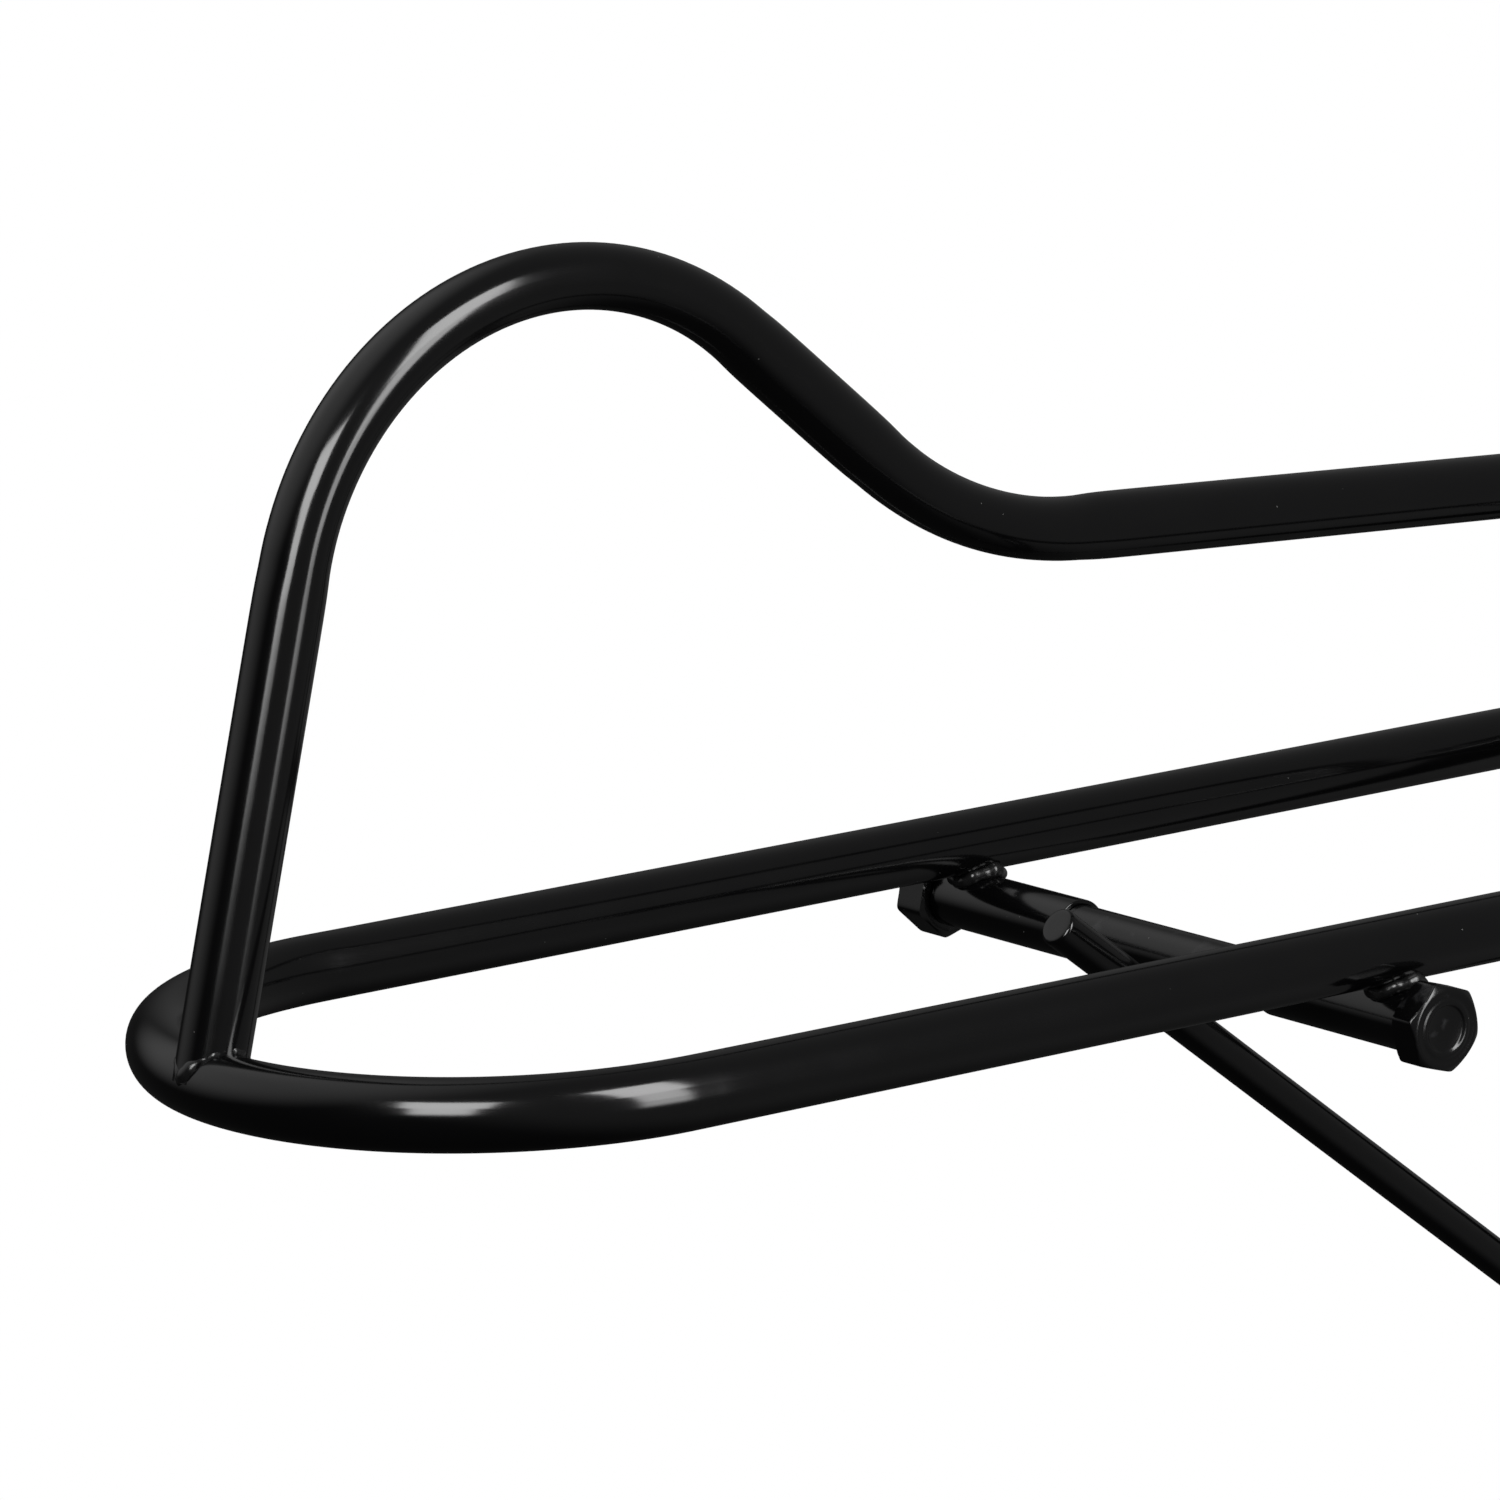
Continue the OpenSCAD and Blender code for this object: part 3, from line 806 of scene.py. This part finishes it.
class SADDLERACK_OT_crossbar(RackOperator):
    """Make the rear crossbar, the hinge barrel, its bushes and its gussets"""

    bl_idname = "saddlerack.crossbar"
    bl_label = "Crossbar and Hinge Barrel"

    def execute(self, context):
        tubes = context.scene.saddle_rack_tubes
        ends = rail_at(tubes, 1, CROSSBAR.x)[1] - 0.6 * tubes.tube_radius
        rows = [(along, CROSSBAR_RADIUS) for along in np.linspace(-ends, ends, 60)]
        bar = turned("crossbar", [CROSSBAR.x, 0, CROSSBAR.z], Y_AXIS, rows)
        finish_piece(bar, RACK, PAINT, "rear_crossbar")

        bore = BARREL_RADIUS - BARREL_WALL
        barrel = tube_ring("barrel", HINGE, BARREL_HIGH.y, BARREL_RADIUS, bore, 0.5 * MM)
        finish_piece(barrel, RACK, PAINT, "hinge_barrel")
        bushes = [self.bush(side) for side in (-1, 1)]
        finish_piece(joined("bushes", bushes), RACK, "nylon", "hinge_bushes")
        gussets = softened("gussets", "hinge_gussets", 0.5 * MM)
        finish_piece(gussets, RACK, PAINT, "hinge_gussets")
        return {"FINISHED"}

    def bush(self, side):
        """A flanged sleeve: its section is an L carried round the hinge axis."""
        outer, inner, deep = BARREL_RADIUS - BARREL_WALL, 6.1 * MM, -16 * MM
        flange, thick, soft = BARREL_RADIUS - 0.5 * MM, 1.5 * MM, 0.3 * MM
        rows = [
            (deep, inner + soft), (deep, outer - soft), (deep + soft, outer), (0, outer),
            (0, flange - soft), (soft, flange), (thick - soft, flange), (thick, flange - soft),
            (thick, inner + soft), (thick - soft, inner), (deep + soft, inner),
        ]
        origin = [HINGE.x, side * BARREL_HIGH.y, HINGE.z]
        return turned("bush", origin, side * Y_AXIS, rows, hoop_piece)


def tube_ring(name, middle, half_len, outer, inner, soft):
    """A short tube along Y whose end edges are rounded in quarter circles."""
    lean = np.linspace(0, pi / 2, 6)
    end = [(half_len - soft + soft * sin(a), outer - soft + soft * cos(a)) for a in lean]
    lip = soft / 2
    end += [(half_len - lip * (1 - sin(a)), inner + lip * (1 - cos(a))) for a in lean[::-1]]
    wall = [(along, outer) for along in np.linspace(2 * soft - half_len, half_len - 2 * soft, 12)]
    rows = wall + end + [(-along, radius) for along, radius in end[::-1]]
    return turned(name, middle, Y_AXIS, rows, hoop_piece)


class SADDLERACK_OT_sleeves(RackOperator):
    """Make the two pivot sleeves under the rails"""

    bl_idname = "saddlerack.sleeves"
    bl_label = "Pivot Sleeves"

    def execute(self, context):
        for name, low, high in (
            ("near_pivot_sleeve", NEAR_LOW, NEAR_HIGH),
            ("far_pivot_sleeve", FAR_LOW, FAR_HIGH),
        ):
            outer, _, _ = (high - low) / 2
            sleeve = tube_ring(name.replace("pivot_", ""), (low + high) / 2, (high.y - low.y) / 2,
                               outer, SLEEVE_BORE, 0.45 * MM)
            finish_piece(sleeve, RACK, PAINT, name)
        return {"FINISHED"}


class SADDLERACK_OT_welds(RackOperator):
    """Lay the weld beads at every joint of the tubes"""

    bl_idname = "saddlerack.welds"
    bl_label = "Weld Beads"

    def execute(self, context):
        tubes = context.scene.saddle_rack_tubes
        self.leg_bead(tubes)
        self.sleeve_beads(tubes)
        self.crossbar_beads(tubes)
        self.spine_bead(tubes)
        self.brace_bead(context.scene.saddle_rack_brace)
        return {"FINISHED"}

    def leg_bead(self, tubes):
        foot = bend_centre(tubes) - [tubes.bend_radius, 0, 0]
        axis = np.array([sin(tubes.leg_lean), 0, cos(tubes.leg_lean)])
        path, out = saddle_path(foot, axis, tubes.tube_radius, off_bend(tubes), 25 * MM)
        path = path - LEG_BEAD_IN * out + LEG_BEAD_UP * axis
        piece = bead("leg_bead", path, out, LEG_BEAD, 9, 0.6, LEG_TACKS)
        finish_piece(piece, RACK, WELD, "leg_weld")

    def sleeve_beads(self, tubes):
        outer = (NEAR_HIGH.x - NEAR_LOW.x) / 2
        between = -tubes.tube_radius - (PIVOT.z + outer)
        for name, side in (("near_sleeve", -1), ("far_sleeve", 1)):
            above = rail_at(tubes, side, PIVOT.x)
            contact = above - [0, 0, tubes.tube_radius + between / 2]
            path, out = notch_path(
                contact, Z_AXIS, rail_line(tubes, side)[1], tubes.tube_radius, Y_AXIS, outer,
                between, SLEEVE_MOUTH,
            )
            piece = bead(name + "_bead", path, out, TUBE_BEAD, 7, 1.1 * side, SLEEVE_TACKS)
            finish_piece(piece, RACK, WELD, name + "_weld")

    def crossbar_beads(self, tubes):
        beads = []
        for side in (-1, 1):
            centre = rail_at(tubes, side, CROSSBAR.x)
            gap = off_line(centre, rail_line(tubes, side)[1], tubes.tube_radius)
            path, out = saddle_path(centre, -side * Y_AXIS, CROSSBAR_RADIUS, gap, 20 * MM)
            beads.append(bead("bead", path, out, TUBE_BEAD, 11, 0.9 * side))
        finish_piece(joined("crossbar_beads", beads), RACK, WELD, "crossbar_welds")

    def spine_bead(self, tubes):
        centre = np.array([CROSSBAR.x, 0, CROSSBAR.z])
        gap = off_line(centre, Y_AXIS, CROSSBAR_RADIUS)
        foot = centre + [0, 0, 3 * MM]
        path, out = saddle_path(foot, Z_AXIS, tubes.tube_radius, gap, 15 * MM)
        piece = bead("spine_bead", path, out, TUBE_BEAD, 12, 0.2)
        finish_piece(piece, RACK, WELD, "spine_weld")

    def brace_bead(self, brace):
        bolt_radius = PIVOT_SIZE.shank
        near, along = brace_line(brace)
        up = unit(np.array(PIVOT) * [1, 0, 1] - near)
        between = brace.bar_offset - bolt_radius - brace.bar_radius
        contact = near + up * (brace.bar_radius + between / 2)
        path, out = notch_path(
            contact, up, Y_AXIS, bolt_radius, along, brace.bar_radius, between, BRACE_MOUTH
        )
        piece = bead("brace_bead", path, out, 1.9 * MM, 8, 0.4)
        finish_piece(piece, BRACE, WELD, "brace_weld")


class SADDLERACK_OT_brace(RackOperator):
    """Make the brace bar and its rubber foot"""

    bl_idname = "saddlerack.brace"
    bl_label = "Brace"

    def execute(self, context):
        brace = context.scene.saddle_rack_brace
        near, along = brace_line(brace)
        full = (FOOT_HIGH.x - near[0]) / along[0]
        self.bar(brace, near, along, full)
        self.foot(brace, near, along, full)
        return {"FINISHED"}

    def bar(self, brace, near, along, full):
        """A round bar whose upper edge is turned over in a quarter circle."""
        radius, soft, top = brace.bar_radius, 1.4 * MM, -brace.bar_stub - 1 * MM
        rows = [(top, 0.5 * radius)]
        rows += [(top + soft * (1 - sin(a)), radius - soft * (1 - cos(a)))
                 for a in np.linspace(pi / 2, 0, 8)]
        rows += [(s, radius) for s in np.linspace(top + 3 * MM, full - 12 * MM, 120)]
        finish_piece(turned("brace_bar_skin", near, along, rows), BRACE, PAINT, "brace_bar")

    def foot(self, brace, near, along, full):
        """A ribbed boot about the bar, cut square to the wall.

        The radius is the boot's, less a groove between ribs; points past the wall's side are
        slid back along the bar to the cut.
        """
        run, start = brace.foot_length, near + along * (full - brace.foot_length)
        s = np.linspace(0, run + 12 * MM, 150)
        ribs = (s > 5 * MM) & (s < run - 14 * MM)
        groove = 0.55 * MM * ribs * (0.5 - 0.5 * np.cos(2 * pi * s / (3 * MM)))
        lip = 1.5 * MM * np.exp(-((s / (1.0 * MM)) ** 2))
        radius = np.append(brace.bar_radius - 0.3 * MM, brace.foot_radius - groove - lip)
        rings = around(start, along, np.append(0, s), radius)
        past = np.maximum(rings[..., 0] - FOOT_HIGH.x, 0) / along[0]
        rings = rings - past[..., None] * along
        finish_piece(closed_piece("foot_boot", rings), BRACE, "black_rubber", "brace_foot")


class SADDLERACK_OT_pivot(RackOperator):
    """Make the long pivot bolt and its nut"""

    bl_idname = "saddlerack.pivot"
    bl_label = "Pivot Bolt"

    def execute(self, context):
        origin = [PIVOT.x, BOLT_LOW.y, PIVOT.z]
        bolt = bolt_piece("long_bolt", origin, BOLT_HIGH.y - BOLT_LOW.y, PIVOT_SIZE, PIVOT_TURN)
        finish_piece(bolt, BRACE, BOLT, "pivot_bolt")
        seat = [PIVOT.x, BOLT_HIGH.y - PIVOT_SIZE.tail - PIVOT_SIZE.nut, PIVOT.z]
        nut = nut_piece("long_bolt_nut", seat, PIVOT_SIZE, -PIVOT_TURN)
        finish_piece(nut, BRACE, BOLT, "pivot_nut")
        return {"FINISHED"}


def bolt_piece(name, origin, full, size, turn):
    """A hex bolt along +Y as one skin, full long from the head's face to its threaded tip.

    The head's face is a shallow dish inside a raised ring, and its rim is chamfered.
    """
    face, head, shank = size.flats / 2, size.head, size.shank
    corner, rim, chamfer = face / cos(pi / 6), HEAD_FACE[-1][1] * face, 1.7 * MM
    rows = [(depth * MM, share * face) for depth, share in HEAD_FACE]
    rows += [(chamfer * k / 8, rim + (corner - rim) * (k / 8) ** 0.8) for k in range(1, 9)]
    rows += [(s, corner) for s in np.linspace(chamfer + 0.3 * MM, head - 1.4 * MM, 8)]
    rows += [(head - 1.0 * MM, corner - 0.3 * MM), (head - 0.6 * MM, corner - 1.0 * MM),
             (head - 0.35 * MM, face - 0.4 * MM), (head - 0.3 * MM, face - 0.7 * MM),
             (head, face - 0.8 * MM), (head, shank + 0.4 * MM), (head + 0.3 * MM, shank)]
    rows += [(s, shank) for s in np.linspace(head + 1 * MM, full - size.threaded, 40)]
    smooth = hex_rings(origin, Y_AXIS, size.flats, rows, turn)
    along, radius = thread_rows(
        full - size.threaded + 0.3 * MM, full - 1.2 * MM, shank, size.pitch
    )
    tip = np.repeat([[0.86 * shank], [0.76 * shank], [0.1 * shank]], HEX_TURNS, 1)
    rings = [smooth, around(origin, Y_AXIS, along, radius),
             around(origin, Y_AXIS, [full - 0.8 * MM, full, full], tip)]
    return closed_piece(name, np.concatenate(rings), sharp=32)


def nut_piece(name, origin, size, turn):
    """A hex nut along +Y: a chamfered hexagon outside and a countersunk bore inside."""
    face, height = size.flats / 2, size.nut
    corner, sink = face / cos(pi / 6), 0.9 * MM
    mouth, bore = size.shank + sink, size.shank + 0.02 * MM
    edge = [(0, 0.92 * face), (0.15 * MM, 0.97 * face), (0.7 * MM, 0.98 * corner), (1.3 * MM, corner)]
    rows = [(0, mouth)] + edge
    rows += [(s, corner) for s in np.linspace(1.6 * MM, height - 1.6 * MM, 8)]
    rows += [(height - along, radius) for along, radius in edge[::-1]]
    rows += [(height, mouth), (height - sink, bore), (sink, bore)]
    return hoop_piece(name, hex_rings(origin, Y_AXIS, size.flats, rows, turn), sharp=32)


class SADDLERACK_OT_hinge(RackOperator):
    """Make the hinge bolt, its nut and its washers"""

    bl_idname = "saddlerack.hinge"
    bl_label = "Hinge Bolt"

    def execute(self, context):
        origin = [HINGE.x, HINGE_LOW.y, HINGE.z]
        bolt = bolt_piece("hinge_bolt_skin", origin, HINGE_HIGH.y - HINGE_LOW.y, HINGE_SIZE, 0.0)
        finish_piece(bolt, WALL, ZINC, "hinge_bolt")
        seat = [HINGE.x, HINGE_HIGH.y - HINGE_SIZE.tail - HINGE_SIZE.nut, HINGE.z]
        nut = nut_piece("hinge_nut_skin", seat, HINGE_SIZE, 0.0)
        finish_piece(nut, WALL, ZINC, "hinge_nut")
        half = WASHER_THICK / 2
        washers = [
            tube_ring("washer", (HINGE.x, y, HINGE.z), half, WASHER_OUTER, WASHER_BORE, 0.35 * MM)
            for y in (WASHERS_LOW.y + half, WASHERS_HIGH.y - half)
        ]
        finish_piece(joined("washers", washers), WALL, ZINC, "hinge_washers")
        return {"FINISHED"}


class SADDLERACK_OT_bracket(RackOperator):
    """Make the wall channel and the seat for the brace's foot"""

    bl_idname = "saddlerack.bracket"
    bl_label = "Wall Bracket"

    def execute(self, context):
        for name, node, width in (
            ("channel", "wall_channel", 0.9 * MM), ("seat_cheeks", "foot_seat", 0.7 * MM)
        ):
            finish_piece(softened(name, node, width, 3), WALL, PAINT, node)
        return {"FINISHED"}


class SADDLERACK_OT_studio(RackOperator):
    """Set up the floor, backdrop, lights and camera"""

    bl_idname = "saddlerack.studio"
    bl_label = "Studio"

    def execute(self, context):
        studio = context.scene.saddle_rack_studio
        aim = bend_centre(context.scene.saddle_rack_tubes)
        self.floor(studio)
        self.world(context, studio)
        self.lights(studio, aim)
        self.camera(context, studio, aim)
        return {"FINISHED"}

    def floor(self, studio):
        """A level square, seen as plain backdrop, that lets the room's light through."""
        span = np.array([[-1, -1], [1, -1], [1, 1], [-1, 1]]) * FLOOR_REACH
        corners = np.column_stack([span, np.full(4, -studio.floor_drop)])
        mesh = bpy.data.meshes.new("floor")
        mesh.from_pydata(corners.tolist(), [], [[0, 1, 2, 3]])
        floor = placed("floor", mesh)
        material = bpy.data.materials.new("floor_white")
        material.use_nodes = True
        tree = material.node_tree
        tree.nodes.clear()
        clear = node_of(tree, "ShaderNodeBsdfTransparent").outputs[0]
        self.seen_plain(tree, clear, "ShaderNodeEmission", studio, "ShaderNodeOutputMaterial")
        mesh.materials.append(material)

    def seen_plain(self, tree, light, plain_kind, studio, output_kind):
        """Shows the plain backdrop to the camera and gives the light to everything else."""
        seen = node_of(tree, "ShaderNodeLightPath").outputs["Is Camera Ray"]
        plain = node_of(tree, plain_kind, {"Color": studio.backdrop}).outputs[0]
        mix = node_of(tree, "ShaderNodeMixShader", {0: seen, 1: light, 2: plain})
        node_of(tree, output_kind, {0: mix.outputs[0]})

    def world(self, context, studio):
        """White where it is seen, and a dim room where it lights the rack.

        The room's brightness rises smoothly from its dark side to its bright side, and a
        broad pale screen stands behind the rack.
        """
        world = bpy.data.worlds.new("studio_room")
        context.scene.world = world
        world.use_nodes = True
        tree = world.node_tree
        tree.nodes.clear()
        coords = node_of(tree, "ShaderNodeTexCoord").outputs["Generated"]
        bright = self.lobe(tree, coords, *BRIGHT_LOBE, studio.dark_side, studio.bright_side)
        back = self.lobe(tree, coords, *BACK_LOBE, 0, studio.back_side)
        both = node_of(tree, "ShaderNodeMath", {0: bright, 1: back}, operation="ADD")
        room = node_of(tree, "ShaderNodeBackground", {"Strength": both.outputs[0]}).outputs[0]
        self.seen_plain(tree, room, "ShaderNodeBackground", studio, "ShaderNodeOutputWorld")

    def lobe(self, tree, direction, middle, edge, full, low, high):
        """Brightness that rises from low to high as the cosine from middle goes edge to full."""
        inputs = {0: direction, 1: unit(middle)}
        cosine = node_of(tree, "ShaderNodeVectorMath", inputs, operation="DOT_PRODUCT")
        inputs = dict(enumerate((cosine.outputs["Value"], edge, full, low, high)))
        shade = node_of(tree, "ShaderNodeMapRange", inputs, interpolation_type="SMOOTHSTEP")
        return shade.outputs[0]

    def lights(self, studio, aim):
        """Two curved softboxes that fade out toward their lower ends."""
        for name, (bearing, half_width, edges, shares) in SOFTBOXES.items():
            for k, share in enumerate(shares):
                low, high = radians(edges[k]), radians(edges[k + 1])
                reach = radians(half_width if share == 1 else DIM_STRIP_WIDTH * half_width)
                self.tile(f"{name}_{k + 1}", studio, aim, radians(bearing), reach, low, high,
                          share * studio.glow)

    def tile(self, name, studio, aim, bearing, half_width, low, high, glow):
        """One flat strip of a softbox, between two heights, that faces the rack.

        Its power is glow times pi times its area.
        """
        turn = studio.camera_yaw - bearing
        level, rise = cos((low + high) / 2), sin((low + high) / 2)
        way = Vector((-sin(turn) * level, -cos(turn) * level, rise))
        lamp = bpy.data.lights.new(name, "AREA")
        lamp.shape = "RECTANGLE"
        lamp.size = 2 * studio.light_back * tan(half_width)
        lamp.size_y = 2 * studio.light_back * tan((high - low) / 2)
        lamp.energy = glow * pi * lamp.size * lamp.size_y
        place = Vector(aim) + studio.light_back * way
        facing = (-way).to_track_quat("-Z", "Y").to_matrix().to_4x4()
        placed(name, lamp).matrix_world = Matrix.Translation(place) @ facing

    def camera(self, context, studio, aim):
        """Looks along the yaw and pitch, rolled about its view, with the bend left of centre."""
        camera = bpy.data.cameras.new("camera")
        camera.sensor_width = 36
        camera.lens = studio.lens
        camera.clip_end = 100
        turn = (
            Matrix.Rotation(-studio.camera_yaw, 4, "Z")
            @ Matrix.Rotation(pi / 2 - studio.camera_pitch, 4, "X")
            @ Matrix.Rotation(-studio.camera_roll, 4, "Z")
        )
        right, up, back = (Vector(turn.col[k][:3]) for k in range(3))
        place = Vector(aim) + studio.camera_side * right + studio.camera_rise * up
        place += studio.camera_back * back
        view = placed("camera", camera)
        view.matrix_world = Matrix.Translation(place) @ turn
        context.scene.camera = view


class SADDLERACK_PT_panel(bpy.types.Panel):
    """Lists the pieces of the rack and their sizes"""

    bl_label = "Saddle Rack"
    bl_idname = "SADDLERACK_PT_panel"
    bl_space_type = "VIEW_3D"
    bl_region_type = "UI"
    bl_category = "Saddle Rack"

    def draw(self, context):
        for operator in OPERATORS:
            self.layout.operator(operator.bl_idname)
        for name in GROUPS:
            box = self.layout.box()
            group = getattr(context.scene, name)
            for key in group.bl_rna.properties.keys():
                if key not in ("rna_type", "name"):
                    box.prop(group, key)


GROUPS = {
    "saddle_rack_tubes": SaddleRackTubes,
    "saddle_rack_brace": SaddleRackBrace,
    "saddle_rack_finish": SaddleRackFinish,
    "saddle_rack_studio": SaddleRackStudio,
}
OPERATORS = (
    SADDLERACK_OT_rails,
    SADDLERACK_OT_spine,
    SADDLERACK_OT_crossbar,
    SADDLERACK_OT_sleeves,
    SADDLERACK_OT_welds,
    SADDLERACK_OT_brace,
    SADDLERACK_OT_pivot,
    SADDLERACK_OT_hinge,
    SADDLERACK_OT_bracket,
    SADDLERACK_OT_studio,
)
CLASSES = (*GROUPS.values(), *OPERATORS, SADDLERACK_PT_panel)


def register():
    for cls in CLASSES:
        bpy.utils.register_class(cls)
    for name, group in GROUPS.items():
        setattr(bpy.types.Scene, name, PointerProperty(type=group))


def unregister():
    for name in GROUPS:
        delattr(bpy.types.Scene, name)
    for cls in reversed(CLASSES):
        bpy.utils.unregister_class(cls)


def main():
    register()
    bpy.context.scene.view_settings.view_transform = "Standard"
    for operator in OPERATORS:
        group, action = operator.bl_idname.split(".")
        getattr(getattr(bpy.ops, group), action)()


if __name__ == "__main__":
    main()
